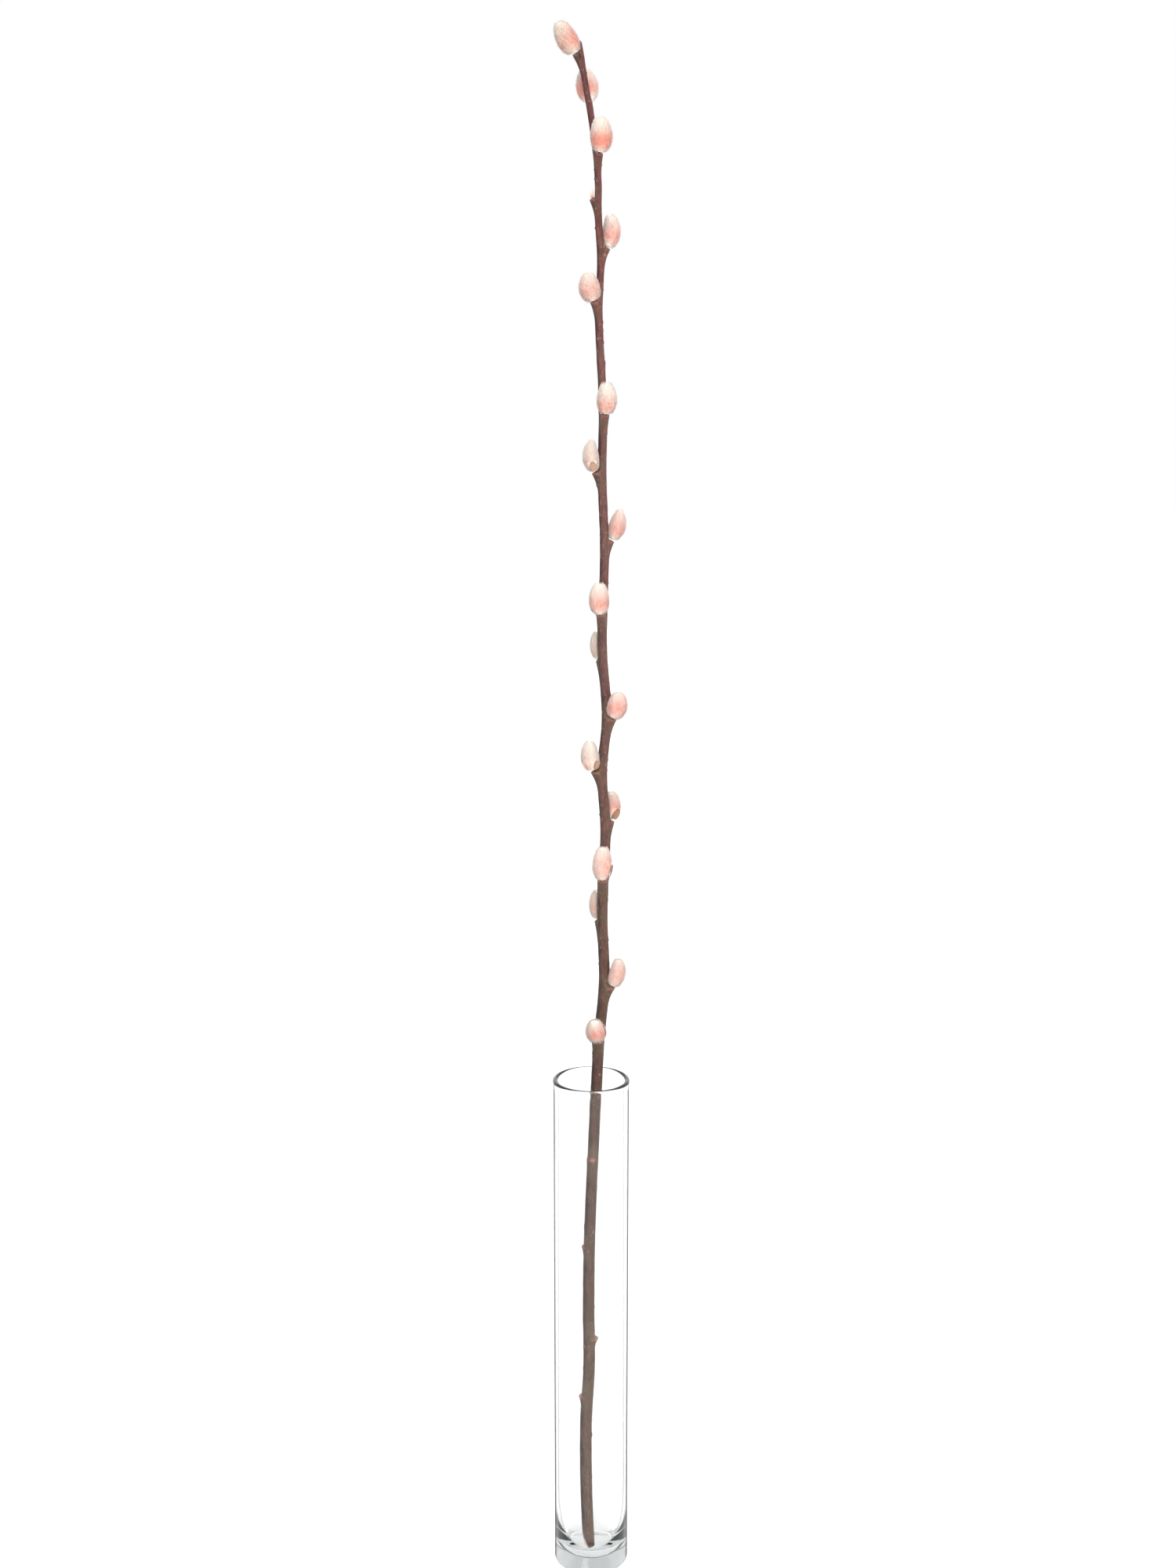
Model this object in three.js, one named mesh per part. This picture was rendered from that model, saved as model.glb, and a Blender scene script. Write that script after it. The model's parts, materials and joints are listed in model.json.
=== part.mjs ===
// A pink pussy willow stem standing in a slim clear glass cylinder vase.
// Millimetres, +Z up. The origin is the centre of the vase's flat underside; the front faces -Y.
// The stem leans back against the rim, and its catkins climb it in a spiral.
import * as THREE from "three";

// Driving dimensions of the vase
const VASE_RADIUS = 25;
const VASE_HEIGHT = 350;
const WALL = 2.8;
const HEEL_ROUND = 2; // round of the outer bottom edge
const FLOOR_THICKNESS = 7;
const BOWL_TOP = 60; // height at which the inside starts to close to a bowl
const BOWL_FULLNESS = 3.4; // 2 is an ellipse, more is squarer
const LIP_OUT = 0.6; // how far the fire-polished lip stands out of the wall
const LIP_HEIGHT = 6;
const VASE_SIDES = 40;
const HEEL_STEPS = 4;
const LIP_STEPS = 6;
const BOWL_STEPS = 9;

// Driving dimensions of the stem
const STEM_FOOT = 9.8; // height of the cut end above the table
const STEM_TIP = 1012;
const FOOT_RADIUS = 4.0;
const TIP_RADIUS = 1.9;
const TIP_END_RADIUS = 1.1; // the dry tip is pointed
const TIP_TAPER = 9; // length over which it narrows
const TIP_CAP = new THREE.Vector3(-0.2, 0, 1.2); // the last point, from the middle of the last ring
const STEM_SIDES = 14;
const PLAIN_RING_STEP = 34; // between rings where no bud shapes the stem
const RING_APART = 0.8; // least distance between rings
const RAMP_RINGS = [0.12, 0.34, 0.62, 1]; // rings below a shelf, as shares of its ramp
const CUT_LENGTH = 19; // length of the slanting knife cut at the foot
const CUT_DEPTH = 0.2; // share of the diameter that the cut takes away
const CUT_FACES = 205; // the compass direction that the cut faces, in degrees
const FOOT_SLANT = 0.3; // how much the foot's end rises to the right

// The stem's centre line, chosen by eye: across, back, up
const ROUTE = [
  [-1.4, -7.5, STEM_FOOT],
  [-3.2, -6.0, 58],
  [-3.4, -3.0, 104],
  [-1.3, 0.3, 145],
  [-1.7, 3.9, 185],
  [-1.2, 7.6, 228],
  [0.3, 11.2, 270],
  [3.4, 16.3, 335],
  [5.3, 19.7, 370],
  [8.7, 23.6, 410],
  [7.4, 27.6, 455],
  [9.4, 33.4, 512],
  [7.2, 36.2, 550],
  [10.1, 39.8, 585],
  [7.3, 43.8, 632],
  [8.6, 49.3, 696],
  [7.0, 53.6, 744],
  [7.6, 57.6, 784],
  [4.8, 61.6, 846],
  [6.1, 64.4, 878],
  [4.5, 66.2, 906],
  [4.1, 67.6, 934],
  [0.5, 69.2, 963],
  [-5.3, 68.6, 996],
  [-7.2, 67.9, STEM_TIP],
];

// Bare nodes: where a bud was rubbed off or never opened
const SCARS = [
  { height: 123, turn: 180, proud: 2.0 },
  { height: 164, turn: 350, proud: 2.5 },
  { height: 228, turn: 172, proud: 1.5 },
  { height: 289, turn: 262, proud: 0.8 },
  { height: 328, turn: 95, proud: 0.6 },
  { height: 815, turn: 62, proud: 1.0 },
];

// Buds from the lowest up. They follow a spiral of about 137.5 degrees a bud.
// height: of the shelf it sits on. turn: compass direction, 0 is +X and 90 is +Y.
// length and width: of the catkin. tip: how far its tip stands out past its belly.
// proud: how far the shelf stands out of the stem, where it isn't the usual.
const BUDS = [
  { height: 370.5, turn: 252, length: 15.5, width: 13.2, tip: 5 },
  { height: 406, turn: 342, length: 18.5, width: 11.4, tip: 1.2 },
  { height: 449.3, turn: 114, length: 18.5, width: 10.6, tip: 0.5 },
  { height: 478.5, turn: 261, length: 23, width: 12.8, tip: 0.3 },
  { height: 516, turn: 48, length: 18, width: 10.6, tip: -0.5 },
  { height: 550, turn: 202, length: 19.5, width: 12.6, tip: 1.5, proud: 4.6 },
  { height: 585, turn: 320, length: 17, width: 13.4, tip: 1.2, proud: 4.5 },
  { height: 622, turn: 112, length: 17.5, width: 10.4, tip: 0.5 },
  { height: 653, turn: 252, length: 20.5, width: 13.2, tip: 0.5 },
  { height: 700, turn: 8, length: 19.5, width: 12, tip: 2.6, proud: 3.6, pointed: true },
  { height: 744, turn: 201, length: 20, width: 10.8, tip: -0.5, pointed: true },
  { height: 781, turn: 289, length: 20, width: 12.6, tip: 0 },
  { height: 852, turn: 222, length: 17, width: 13.6, tip: 1.5 },
  { height: 885.5, turn: 18, length: 20, width: 12.2, tip: -0.5 },
  { height: 916, turn: 180, length: 7.6, width: 3.2, tip: 0.4, closed: true },
  { height: 944, turn: 303, length: 21, width: 14, tip: 0.5 },
  { height: 976, turn: 84, length: 19, width: 13.8, tip: 0.5 },
  { height: 1004, turn: 196, length: 18.5, width: 14.4, tip: 6.5 },
];

// Bud scales that still cling to a catkin. side: degrees round the catkin from its outer side.
// spread: half its width in degrees. from and to: the share of the catkin's length it covers.
const SCALES = [
  { name: "bud_scale_01", bud: 0, side: 112, spread: 15, from: 0.12, to: 0.82 },
  { name: "bud_scale_04", bud: 3, side: 82, spread: 20, from: 0.08, to: 0.5 },
  { name: "bud_scale_05", bud: 4, side: -96, spread: 46, from: 0.07, to: 0.42 },
  { name: "bud_scale_06a", bud: 5, side: 100, spread: 42, from: 0.07, to: 0.48 },
  { name: "bud_scale_06b", bud: 5, side: 12, spread: 26, from: 0.08, to: 0.4 },
  { name: "bud_scale_11", bud: 10, side: 74, spread: 46, from: 0.07, to: 0.4 },
];

// How a bud sits on the wood
const GAP = 0.35; // clearance between separate pieces
const SHELF_PROUD = 4.1; // how far a shelf stands out of the stem
const SMALL_SHELF_PROUD = 3.4; // under a bud that is still closed
const SHELF_RAMP = 13; // length over which the stem swells below a shelf
const SCAR_RAMP = 7;
const SHELF_DROP = 0.55; // fall of the shelf's face towards its outer edge, a share of its depth
const LEAST_DROP = 0.9;
const SWELL_CURVE = 1.6; // more keeps the swelling slim until just below its shelf
const SHELF_ROUND = 1.03; // radius of the shelf's round edge, a share of the stem's radius
const SEAT_AT = 0.5; // where on the shelf a bud sits, from the stem to the shelf's edge
const BELLY_AT = 0.42; // share of a catkin's length at which it stands furthest out
const BELLY_LOW = 0.76; // less than 1 puts a catkin's widest place below its middle
const BLUNT = 0.55; // less is blunter
const POINTED = 0.8;
const PRESSED = 0.8; // how full a catkin is on the side pressed to the stem
const CLOSED_SIDES = 8;
const CLOSED_ROWS = 6;

// How a catkin is tufted
const TUFT_COLUMNS = 14;
const TUFT_ROWS = 11;
const TUFT_OUT = 0.95;
const TUFT_UP = 0.7; // how far a tuft leans up, a share of a row
const BARE_MARGIN = 28; // degrees beside a bud scale without tufts
const BARE_ABOVE = 0.1; // share of the length above it without tufts

// A bud scale's shell
const SCALE_GAP = 0.55; // between a bud scale and its catkin
const SCALE_THICKNESS = 0.7;
const SCALE_STEPS = 5;
const SCALE_ACROSS = [-1, -0.5, 0, 0.5, 1]; // points across it, as shares of half its width
const SCALE_NARROWING = 0.8; // how much narrower its tip is
const SCALE_CURVE = 2.2; // more keeps it wide for longer

const radians = THREE.MathUtils.degToRad;

// Materials
const clearGlass = new THREE.MeshStandardMaterial({
  color: 0xeef4f2,
  roughness: 0.03,
  metalness: 0,
  transparent: true,
  opacity: 0.3,
});
const bark = new THREE.MeshStandardMaterial({ color: 0x6f4a42, roughness: 0.62, metalness: 0 });
const silk = new THREE.MeshStandardMaterial({ color: 0xe9b7a2, roughness: 0.85, metalness: 0 });
const scaleSkin = new THREE.MeshStandardMaterial({ color: 0x9a6a4a, roughness: 0.45, metalness: 0 });

// The stem's form

const route = new THREE.CatmullRomCurve3(
  ROUTE.map(([x, y, z]) => new THREE.Vector3(x, y, z)),
  false,
  "centripetal",
);

// The point of the centre line at a height
function centreAt(height) {
  let low = 0;
  let high = 1;
  for (let step = 0; step < 40; step += 1) {
    const middle = (low + high) / 2;
    if (route.getPoint(middle).z < height) low = middle;
    else high = middle;
  }
  const point = route.getPoint((low + high) / 2);
  return new THREE.Vector3(point.x, point.y, height);
}

function woodRadius(height) {
  const share = THREE.MathUtils.clamp((height - STEM_FOOT) / (STEM_TIP - STEM_FOOT), 0, 1);
  const last = Math.max(0, 1 - (STEM_TIP - height) / TIP_TAPER);
  const dried = (TIP_RADIUS - TIP_END_RADIUS) * Math.min(last, 1);
  return FOOT_RADIUS - (FOOT_RADIUS - TIP_RADIUS) * share ** 2 - dried;
}

// A swelling under a bud: a round bump that grows out of the stem, ends in a shelf and drops back
function swelling(node, ramp) {
  const radius = woodRadius(node.height);
  const proud = node.proud ?? (node.closed ? SMALL_SHELF_PROUD : SHELF_PROUD);
  const round = SHELF_ROUND * radius;
  return {
    height: node.height,
    turn: radians(node.turn),
    ramp,
    drop: Math.max(LEAST_DROP, SHELF_DROP * proud),
    round,
    offset: radius + proud - round,
  };
}
const swellings = [
  ...BUDS.map((bud) => swelling(bud, SHELF_RAMP)),
  ...SCARS.map((scar) => swelling(scar, SCAR_RAMP)),
];

// The stem's radius at a height, in one direction
function stemRadius(height, turn) {
  let radius = woodRadius(height);
  for (const s of swellings) {
    const below = (height - (s.height - s.ramp)) / s.ramp;
    const above = 1 - (height - s.height) / s.drop;
    if (below <= 0 || above <= 0) continue;
    const offset = s.offset * Math.min(below ** SWELL_CURVE, above, 1);
    const across = offset * Math.sin(turn - s.turn);
    const along = offset * Math.cos(turn - s.turn);
    if (Math.abs(across) >= s.round || along < 0) continue;
    radius = Math.max(radius, along + Math.sqrt(s.round ** 2 - across ** 2));
  }
  return radius;
}

// The faces between each ring of points and the next.
// raised(row, column) says which grid points stand up: the edges then run between the low points.
function sides(rings, raised = () => false) {
  const count = rings[0].length;
  const faces = [];
  const at = (row, column) => row * count + (column % count);
  for (let row = 0; row + 1 < rings.length; row += 1) {
    for (let column = 0; column < count; column += 1) {
      const a = at(row, column);
      const b = at(row, column + 1);
      const c = at(row + 1, column + 1);
      const d = at(row + 1, column);
      if (raised(row, column) || raised(row + 1, column + 1)) faces.push(a, b, d, b, c, d);
      else faces.push(a, b, c, a, c, d);
    }
  }
  return faces;
}

function surface(points, faces) {
  const geometry = new THREE.BufferGeometry();
  const positions = points.flatMap((p) => [p.x, p.y, p.z]);
  geometry.setAttribute("position", new THREE.Float32BufferAttribute(positions, 3));
  geometry.setIndex(faces);
  geometry.computeVertexNormals();
  return geometry;
}

// A closed form through rings of points, with a pole at each end
function loft(rings, firstPole, lastPole, raised) {
  const count = rings[0].length;
  const faces = sides(rings, raised);
  const bottom = rings.length * count;
  const top = bottom - count;
  for (let column = 0; column < count; column += 1) {
    const next = (column + 1) % count;
    faces.push(bottom, next, column);
    faces.push(bottom + 1, top + column, top + next);
  }
  return surface([...rings.flat(), firstPole, lastPole], faces);
}

// A closed thin shell. Each ring runs along its outside and back along its inside.
function shell(rings) {
  const count = rings[0].length;
  const faces = sides(rings);
  const top = (rings.length - 1) * count;
  for (let out = 0; out + 1 < count / 2; out += 1) {
    const back = count - 1 - out;
    faces.push(out + 1, out, back, out + 1, back, back - 1);
    faces.push(top + out, top + out + 1, top + back, top + out + 1, top + back - 1, top + back);
  }
  return surface(rings.flat(), faces);
}

// The vase: a lathed profile, up the outside, over the lip and down the inside to the bowl
function vaseGeometry() {
  const profile = [new THREE.Vector2(0, 0)];
  const to = (radius, height) => profile.push(new THREE.Vector2(radius, height));
  const heelCentre = VASE_RADIUS - HEEL_ROUND;
  for (let step = 0; step <= HEEL_STEPS; step += 1) {
    const a = ((step / HEEL_STEPS) * Math.PI) / 2;
    to(heelCentre + HEEL_ROUND * Math.sin(a), HEEL_ROUND - HEEL_ROUND * Math.cos(a));
  }
  to(VASE_RADIUS, VASE_HEIGHT - LIP_HEIGHT);
  const lipRound = (WALL + LIP_OUT) / 2;
  const lipCentre = VASE_RADIUS + LIP_OUT - lipRound;
  for (let step = 0; step <= LIP_STEPS; step += 1) {
    const a = (step / LIP_STEPS) * Math.PI;
    to(lipCentre + lipRound * Math.cos(a), VASE_HEIGHT - lipRound + lipRound * Math.sin(a));
  }
  const inside = VASE_RADIUS - WALL;
  const depth = BOWL_TOP - FLOOR_THICKNESS;
  const squareness = 2 / BOWL_FULLNESS;
  for (let step = 0; step < BOWL_STEPS; step += 1) {
    const a = ((step / BOWL_STEPS) * Math.PI) / 2;
    to(inside * Math.cos(a) ** squareness, BOWL_TOP - depth * Math.sin(a) ** squareness);
  }
  to(0, FLOOR_THICKNESS);
  const lathed = new THREE.LatheGeometry(profile, VASE_SIDES);
  lathed.rotateX(Math.PI / 2); // the lathe turns about Y; the vase stands along Z
  return lathed;
}

// Rings are laid where the stem's form changes: at each shelf first, then between shelves
function ringHeights() {
  const kept = [];
  const lay = (height) => {
    const inside = height >= STEM_FOOT && height <= STEM_TIP;
    if (inside && kept.every((other) => Math.abs(other - height) > RING_APART)) kept.push(height);
  };
  [STEM_FOOT, STEM_FOOT + CUT_LENGTH, STEM_TIP - TIP_TAPER, STEM_TIP].forEach(lay);
  swellings.forEach((s) => [s.height, s.height + s.drop].forEach(lay));
  for (const s of swellings) RAMP_RINGS.forEach((below) => lay(s.height - s.ramp * below));
  for (let z = STEM_FOOT + PLAIN_RING_STEP; z < STEM_TIP; z += PLAIN_RING_STEP) lay(z);
  return kept.sort((a, b) => a - b);
}

function middleOf(ring) {
  return ring.reduce((sum, p) => sum.add(p), new THREE.Vector3()).divideScalar(ring.length);
}

function stemGeometry() {
  const cut = new THREE.Vector3(Math.cos(radians(CUT_FACES)), Math.sin(radians(CUT_FACES)), 0);
  const rings = ringHeights().map((height) => {
    const centre = centreAt(height);
    const taken = Math.max(0, 1 - (height - STEM_FOOT) / CUT_LENGTH) * CUT_DEPTH;
    const limit = woodRadius(height) * (1 - 2 * taken);
    return Array.from({ length: STEM_SIDES }, (_, side) => {
      const turn = (side / STEM_SIDES) * 2 * Math.PI;
      const radius = stemRadius(height, turn);
      const arm = new THREE.Vector3(Math.cos(turn) * radius, Math.sin(turn) * radius, 0);
      const over = arm.dot(cut) - limit;
      if (taken > 0 && over > 0) arm.addScaledVector(cut, -over);
      if (height === STEM_FOOT) arm.z = FOOT_SLANT * arm.x;
      return arm.add(centre);
    });
  });
  return loft(rings, middleOf(rings[0]), middleOf(rings.at(-1)).add(TIP_CAP));
}

// The curved line that a bud grows along, with its frame
function budAxis(bud) {
  const s = swellings[BUDS.indexOf(bud)];
  const out = new THREE.Vector3(Math.cos(s.turn), Math.sin(s.turn), 0);
  const wood = woodRadius(bud.height);
  const shelf = s.offset + s.round;
  const seat = wood + SEAT_AT * (shelf - wood);
  const belly = wood + GAP + PRESSED * (bud.width / 2);
  const tip = belly + bud.tip;
  // The curve's middle handle that takes it through the belly
  const bend = (belly - (1 - BELLY_AT) ** 2 * seat - BELLY_AT ** 2 * tip) / (2 * BELLY_AT * (1 - BELLY_AT));
  const foot = bud.height + (1 - SEAT_AT) * s.drop + GAP;
  const point = (distance, height) =>
    centreAt(bud.height).addScaledVector(out, distance).setZ(height);
  const drift = (height) => centreAt(Math.min(height, STEM_TIP)).sub(centreAt(bud.height)).setZ(0);
  const middle = foot + bud.length / 2;
  const top = foot + bud.length;
  const curve = new THREE.QuadraticBezierCurve3(
    point(seat, foot),
    point(bend, middle).add(drift(middle)),
    point(tip, top).add(drift(top)),
  );
  return { curve, out };
}

// Half the width of a bud along its length, as a share of its widest. Most have a blunt top.
function fullness(bud, t) {
  const wave = Math.sin(Math.PI * THREE.MathUtils.clamp(t, 0, 1) ** BELLY_LOW);
  return Math.max(wave, 0) ** (bud.pointed || bud.closed ? POINTED : BLUNT);
}

// A point on a bud's skin: t along it, angle round it from its outer side, and how far above the skin
function onBud(bud, axis, t, angle, above) {
  const place = axis.curve.getPoint(t);
  const tangent = axis.curve.getTangent(t);
  const outward = axis.out.clone().addScaledVector(tangent, -axis.out.dot(tangent)).normalize();
  const sideways = new THREE.Vector3().crossVectors(tangent, outward);
  const radius = (bud.width / 2 - TUFT_OUT / 2) * fullness(bud, t) + above;
  const pressed = Math.cos(angle) < 0 ? PRESSED : 1;
  place.addScaledVector(outward, radius * Math.cos(angle) * pressed);
  place.addScaledVector(sideways, radius * Math.sin(angle));
  // A catkin is pressed flat where it meets the stem
  const height = Math.min(place.z, STEM_TIP);
  const reach = place.clone().sub(centreAt(height)).setZ(0).dot(axis.out);
  const least = woodRadius(height) + GAP + 0.1 * (1 + above);
  if (reach < least) place.addScaledVector(axis.out, least - reach);
  return place;
}

// Whether a clinging scale lies over this spot, so that no tuft stands there
function underScale(bud, t, angle) {
  return SCALES.some((scale) => {
    if (BUDS[scale.bud] !== bud || t > scale.to + BARE_ABOVE) return false;
    const apart = Math.abs(((angle - radians(scale.side) + 3 * Math.PI) % (2 * Math.PI)) - Math.PI);
    return apart < radians(scale.spread + BARE_MARGIN);
  });
}

// A catkin: an egg covered in tufts, each one grid point raised and leaned towards the tip
function catkinGeometry(bud) {
  const axis = budAxis(bud);
  const isTuft = (row, column) => (row + column) % 2 === 0 && row > 0 && row < TUFT_ROWS - 1;
  const rings = Array.from({ length: TUFT_ROWS }, (_, row) => {
    const t = (row + 0.6) / (TUFT_ROWS + 0.4);
    return Array.from({ length: TUFT_COLUMNS }, (__, column) => {
      const angle = (column / TUFT_COLUMNS) * 2 * Math.PI;
      const stands = isTuft(row, column) && !underScale(bud, t, angle);
      if (!stands) return onBud(bud, axis, t, angle, 0);
      return onBud(bud, axis, t + TUFT_UP / TUFT_ROWS, angle, TUFT_OUT);
    });
  });
  return loft(rings, axis.curve.getPoint(0), axis.curve.getPoint(1), isTuft);
}

// A bud that is still closed: a plain slender spindle
function closedBudGeometry(bud) {
  const axis = budAxis(bud);
  const rings = Array.from({ length: CLOSED_ROWS }, (_, row) =>
    Array.from({ length: CLOSED_SIDES }, (__, column) =>
      onBud(bud, axis, (row + 0.5) / CLOSED_ROWS, (column / CLOSED_SIDES) * 2 * Math.PI, 0),
    ),
  );
  return loft(rings, axis.curve.getPoint(0), axis.curve.getPoint(1));
}

// A bud scale: a thin pointed shell that hugs its catkin. Each ring is one cross-section.
function scaleGeometry(scale) {
  const bud = BUDS[scale.bud];
  const axis = budAxis(bud);
  const rings = Array.from({ length: SCALE_STEPS + 1 }, (_, row) => {
    const share = row / SCALE_STEPS;
    const t = scale.from + (scale.to - scale.from) * share;
    const half = radians(scale.spread) * (1 - SCALE_NARROWING * share ** SCALE_CURVE);
    const across = SCALE_ACROSS.map((u) => radians(scale.side) + half * u);
    const inner = across.map((angle) => onBud(bud, axis, t, angle, SCALE_GAP));
    const outer = across.map((angle) => onBud(bud, axis, t, angle, SCALE_GAP + SCALE_THICKNESS));
    return [...outer, ...inner.reverse()];
  });
  return shell(rings);
}

// Assembly

function piece(name, geometry, material) {
  const mesh = new THREE.Mesh(geometry, material);
  mesh.name = name;
  return mesh;
}

const willow = new THREE.Group();
willow.add(piece("vase", vaseGeometry(), clearGlass));
willow.add(piece("stem", stemGeometry(), bark));
BUDS.forEach((bud, index) => {
  const number = String(index + 1).padStart(2, "0");
  if (bud.closed) willow.add(piece(`closed_bud_${number}`, closedBudGeometry(bud), scaleSkin));
  else willow.add(piece(`catkin_${number}`, catkinGeometry(bud), silk));
});
for (const scale of SCALES) willow.add(piece(scale.name, scaleGeometry(scale), scaleSkin));

export default willow;
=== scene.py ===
# %% [markdown]
# # A pink pussy willow stem in a slim glass cylinder
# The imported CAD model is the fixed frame: it says where the vase stands, how the stem leans back
# against the rim, and where each catkin sits. Here every piece gets its real surface: bark with
# corky specks, catkins made of fine hairs, dry bud scales, and clear glass that bends the light.
# Everything is in metres, with +Z up and the front towards -Y.

# %% Load the frame
import json
import math

import bmesh
import bpy
import numpy as np
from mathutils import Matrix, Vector, noise

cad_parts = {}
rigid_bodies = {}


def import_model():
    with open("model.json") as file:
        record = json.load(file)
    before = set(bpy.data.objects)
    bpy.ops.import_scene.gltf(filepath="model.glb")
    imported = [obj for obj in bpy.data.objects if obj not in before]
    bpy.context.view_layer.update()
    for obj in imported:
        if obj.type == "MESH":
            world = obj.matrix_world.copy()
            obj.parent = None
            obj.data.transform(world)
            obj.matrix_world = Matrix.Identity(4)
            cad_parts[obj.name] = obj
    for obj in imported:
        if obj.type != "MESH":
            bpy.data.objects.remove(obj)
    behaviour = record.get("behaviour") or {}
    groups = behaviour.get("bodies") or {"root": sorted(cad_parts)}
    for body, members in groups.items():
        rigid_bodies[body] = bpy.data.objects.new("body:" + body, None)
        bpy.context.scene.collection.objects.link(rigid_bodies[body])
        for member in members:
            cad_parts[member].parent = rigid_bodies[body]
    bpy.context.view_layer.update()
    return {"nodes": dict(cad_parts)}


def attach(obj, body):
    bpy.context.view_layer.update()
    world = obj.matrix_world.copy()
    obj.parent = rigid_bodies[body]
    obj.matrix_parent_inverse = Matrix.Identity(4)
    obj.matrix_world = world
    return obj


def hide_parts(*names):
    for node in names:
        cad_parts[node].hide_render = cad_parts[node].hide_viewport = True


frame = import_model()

print("frame loaded:", len(frame["nodes"]), "solids")

# %% [markdown]
# ## Small helpers
# Sizes below are in millimetres, as a gardener or a glass maker would measure them, and are turned
# into metres where a mesh is made. Colours are sRGB hex values, as a colour picker shows them, and
# Blender's shaders want linear light, so one function turns them.

# %% Units and colours
MM = 0.001


def colour(hex_value):
    """An sRGB hex colour as linear red, green, blue and alpha."""
    parts = [int(hex_value[i:i + 2], 16) / 255 for i in (1, 3, 5)]
    linear = [p / 12.92 if p <= 0.04045 else ((p + 0.055) / 1.055) ** 2.4 for p in parts]
    return (*linear, 1.0)


# %% Selection and finishing
def deselect():
    """The loaded nodes and any new primitive are selected, so each step starts from nothing."""
    for thing in bpy.context.view_layer.objects:
        thing.select_set(False)


def choose(*pieces):
    """Selects pieces and makes the last one active, as clicks do."""
    deselect()
    for piece in pieces:
        piece.select_set(True)
    bpy.context.view_layer.objects.active = pieces[-1]


def points_of(piece):
    """A mesh's points as an array of rows, in metres."""
    places = np.zeros(len(piece.data.vertices) * 3)
    piece.data.vertices.foreach_get("co", places)
    return places.reshape(-1, 3)


def move_points(piece, places):
    piece.data.vertices.foreach_set("co", np.asarray(places, np.float32).ravel())
    piece.data.update()


def paint_values(piece, **values):
    """Stores numbers, one per point, under names by which a material reads them."""
    for name, numbers in values.items():
        layer = piece.data.attributes.new(name, "FLOAT", "POINT")
        layer.data.foreach_set("value", np.asarray(numbers, np.float32).ravel())


def unit(vectors):
    """The same directions, each of length 1."""
    return vectors / np.linalg.norm(vectors, axis=-1, keepdims=True)


def select_where(piece, kind, test):
    """In edit mode, selects those edges or faces of a piece that pass a test."""
    bpy.ops.mesh.select_mode(type=kind)
    bpy.ops.mesh.select_all(action="DESELECT")
    shape = bmesh.from_edit_mesh(piece.data)
    for part in shape.edges if kind == "EDGE" else shape.faces:
        part.select_set(test(part))
    bmesh.update_edit_mesh(piece.data)


def face_outwards(piece):
    """A shape wrapped by formula may be inside out, so its faces are turned to point out."""
    shape = bmesh.new()
    shape.from_mesh(piece.data)
    bmesh.ops.recalc_face_normals(shape, faces=shape.faces)
    shape.to_mesh(piece.data)
    shape.free()


def settle(piece, name, node, material=None):
    """Names a finished piece, gives it its material and puts it in the place of its CAD node."""
    piece.name = name
    piece.data.name = name
    if material:
        piece.data.materials.clear()
        piece.data.materials.append(material)
    deselect()
    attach(piece, "root")
    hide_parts(node)


# %% Materials are made of nodes
def new_material(name):
    """A material with an empty node tree, and the coordinates that its patterns lie in."""
    material = bpy.data.materials.new(name)
    material.use_nodes = True
    tree = material.node_tree
    tree.nodes.clear()
    return material, tree, add(tree, "TexCoord").outputs["Object"]


def add(tree, kind, inputs=None, **settings):
    """Adds a node. An input is a value, another node's output, or a node for its first output."""
    made = tree.nodes.new("ShaderNode" + kind)
    for name, value in settings.items():
        if name == "stops":
            ramp = made.color_ramp.elements
            while len(ramp) < len(value):
                ramp.new(0.5)
            for element, (position, shade) in zip(ramp, value):
                element.position = position
                element.color = colour(shade) if isinstance(shade, str) else (shade, shade, shade, 1)
        else:
            setattr(made, name, value)
    for name, value in (inputs or {}).items():
        if isinstance(value, bpy.types.Node):
            value = value.outputs[0]
        if isinstance(value, bpy.types.NodeSocket):
            tree.links.new(value, made.inputs[name])
        else:
            made.inputs[name].default_value = value
    return made


# %% [markdown]
# ## The studio
# The picture was taken on seamless white, from the height of the upper catkins, looking slightly
# down. The room is bright behind and overhead and dim on the camera's side, so the glass shows no
# white veil over the stem. Light seen through the glass finds that side less dim, so the vase's foot
# isn't black. A wide soft lamp beside the camera lights the front.

# %% The camera
PITCH_DOWN = 12.3  # degrees
CAMERA_PLACE = (-0.0021, -1.368, 0.848)  # metres
lens = bpy.data.cameras.new("camera")
lens.lens = 50
lens.sensor_width = 36
camera = bpy.data.objects.new("camera", lens)
camera.location = CAMERA_PLACE
camera.rotation_euler = (math.radians(90 - PITCH_DOWN), 0, 0)
bpy.context.collection.objects.link(camera)
bpy.context.scene.camera = camera
bpy.context.scene.view_settings.view_transform = "Standard"
print("camera at", tuple(camera.location))

# %% White room and soft key light
SEEN_THROUGH_GLASS = 0.42  # least brightness of a wall that is seen through glass
KEY_STRENGTH, KEY_WIDTH = 1.85, 35  # the lamp's strength, and how wide it looks in degrees
KEY_TILT, KEY_TURN = 62, 12  # degrees from straight down, and to the side
world = bpy.data.worlds.new("white_studio")
bpy.context.scene.world = world
world.use_nodes = True
tree = world.node_tree
towards = add(tree, "SeparateXYZ", {0: add(tree, "TexCoord").outputs["Generated"]})
front_to_back, overhead, doorway = (
    add(tree, "MapRange", {"Value": towards.outputs[axis], "From Min": start, "From Max": end,
                           "To Min": dim, "To Max": bright})
    for axis, start, end, dim, bright in [
        ("Y", -0.7, 0.3, 0.55, 1.25), ("Z", 0.72, 0.95, 0.0, 1.6), ("Y", -0.9, -0.55, 0.08, 1.0)])
ray = add(tree, "LightPath")
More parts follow.
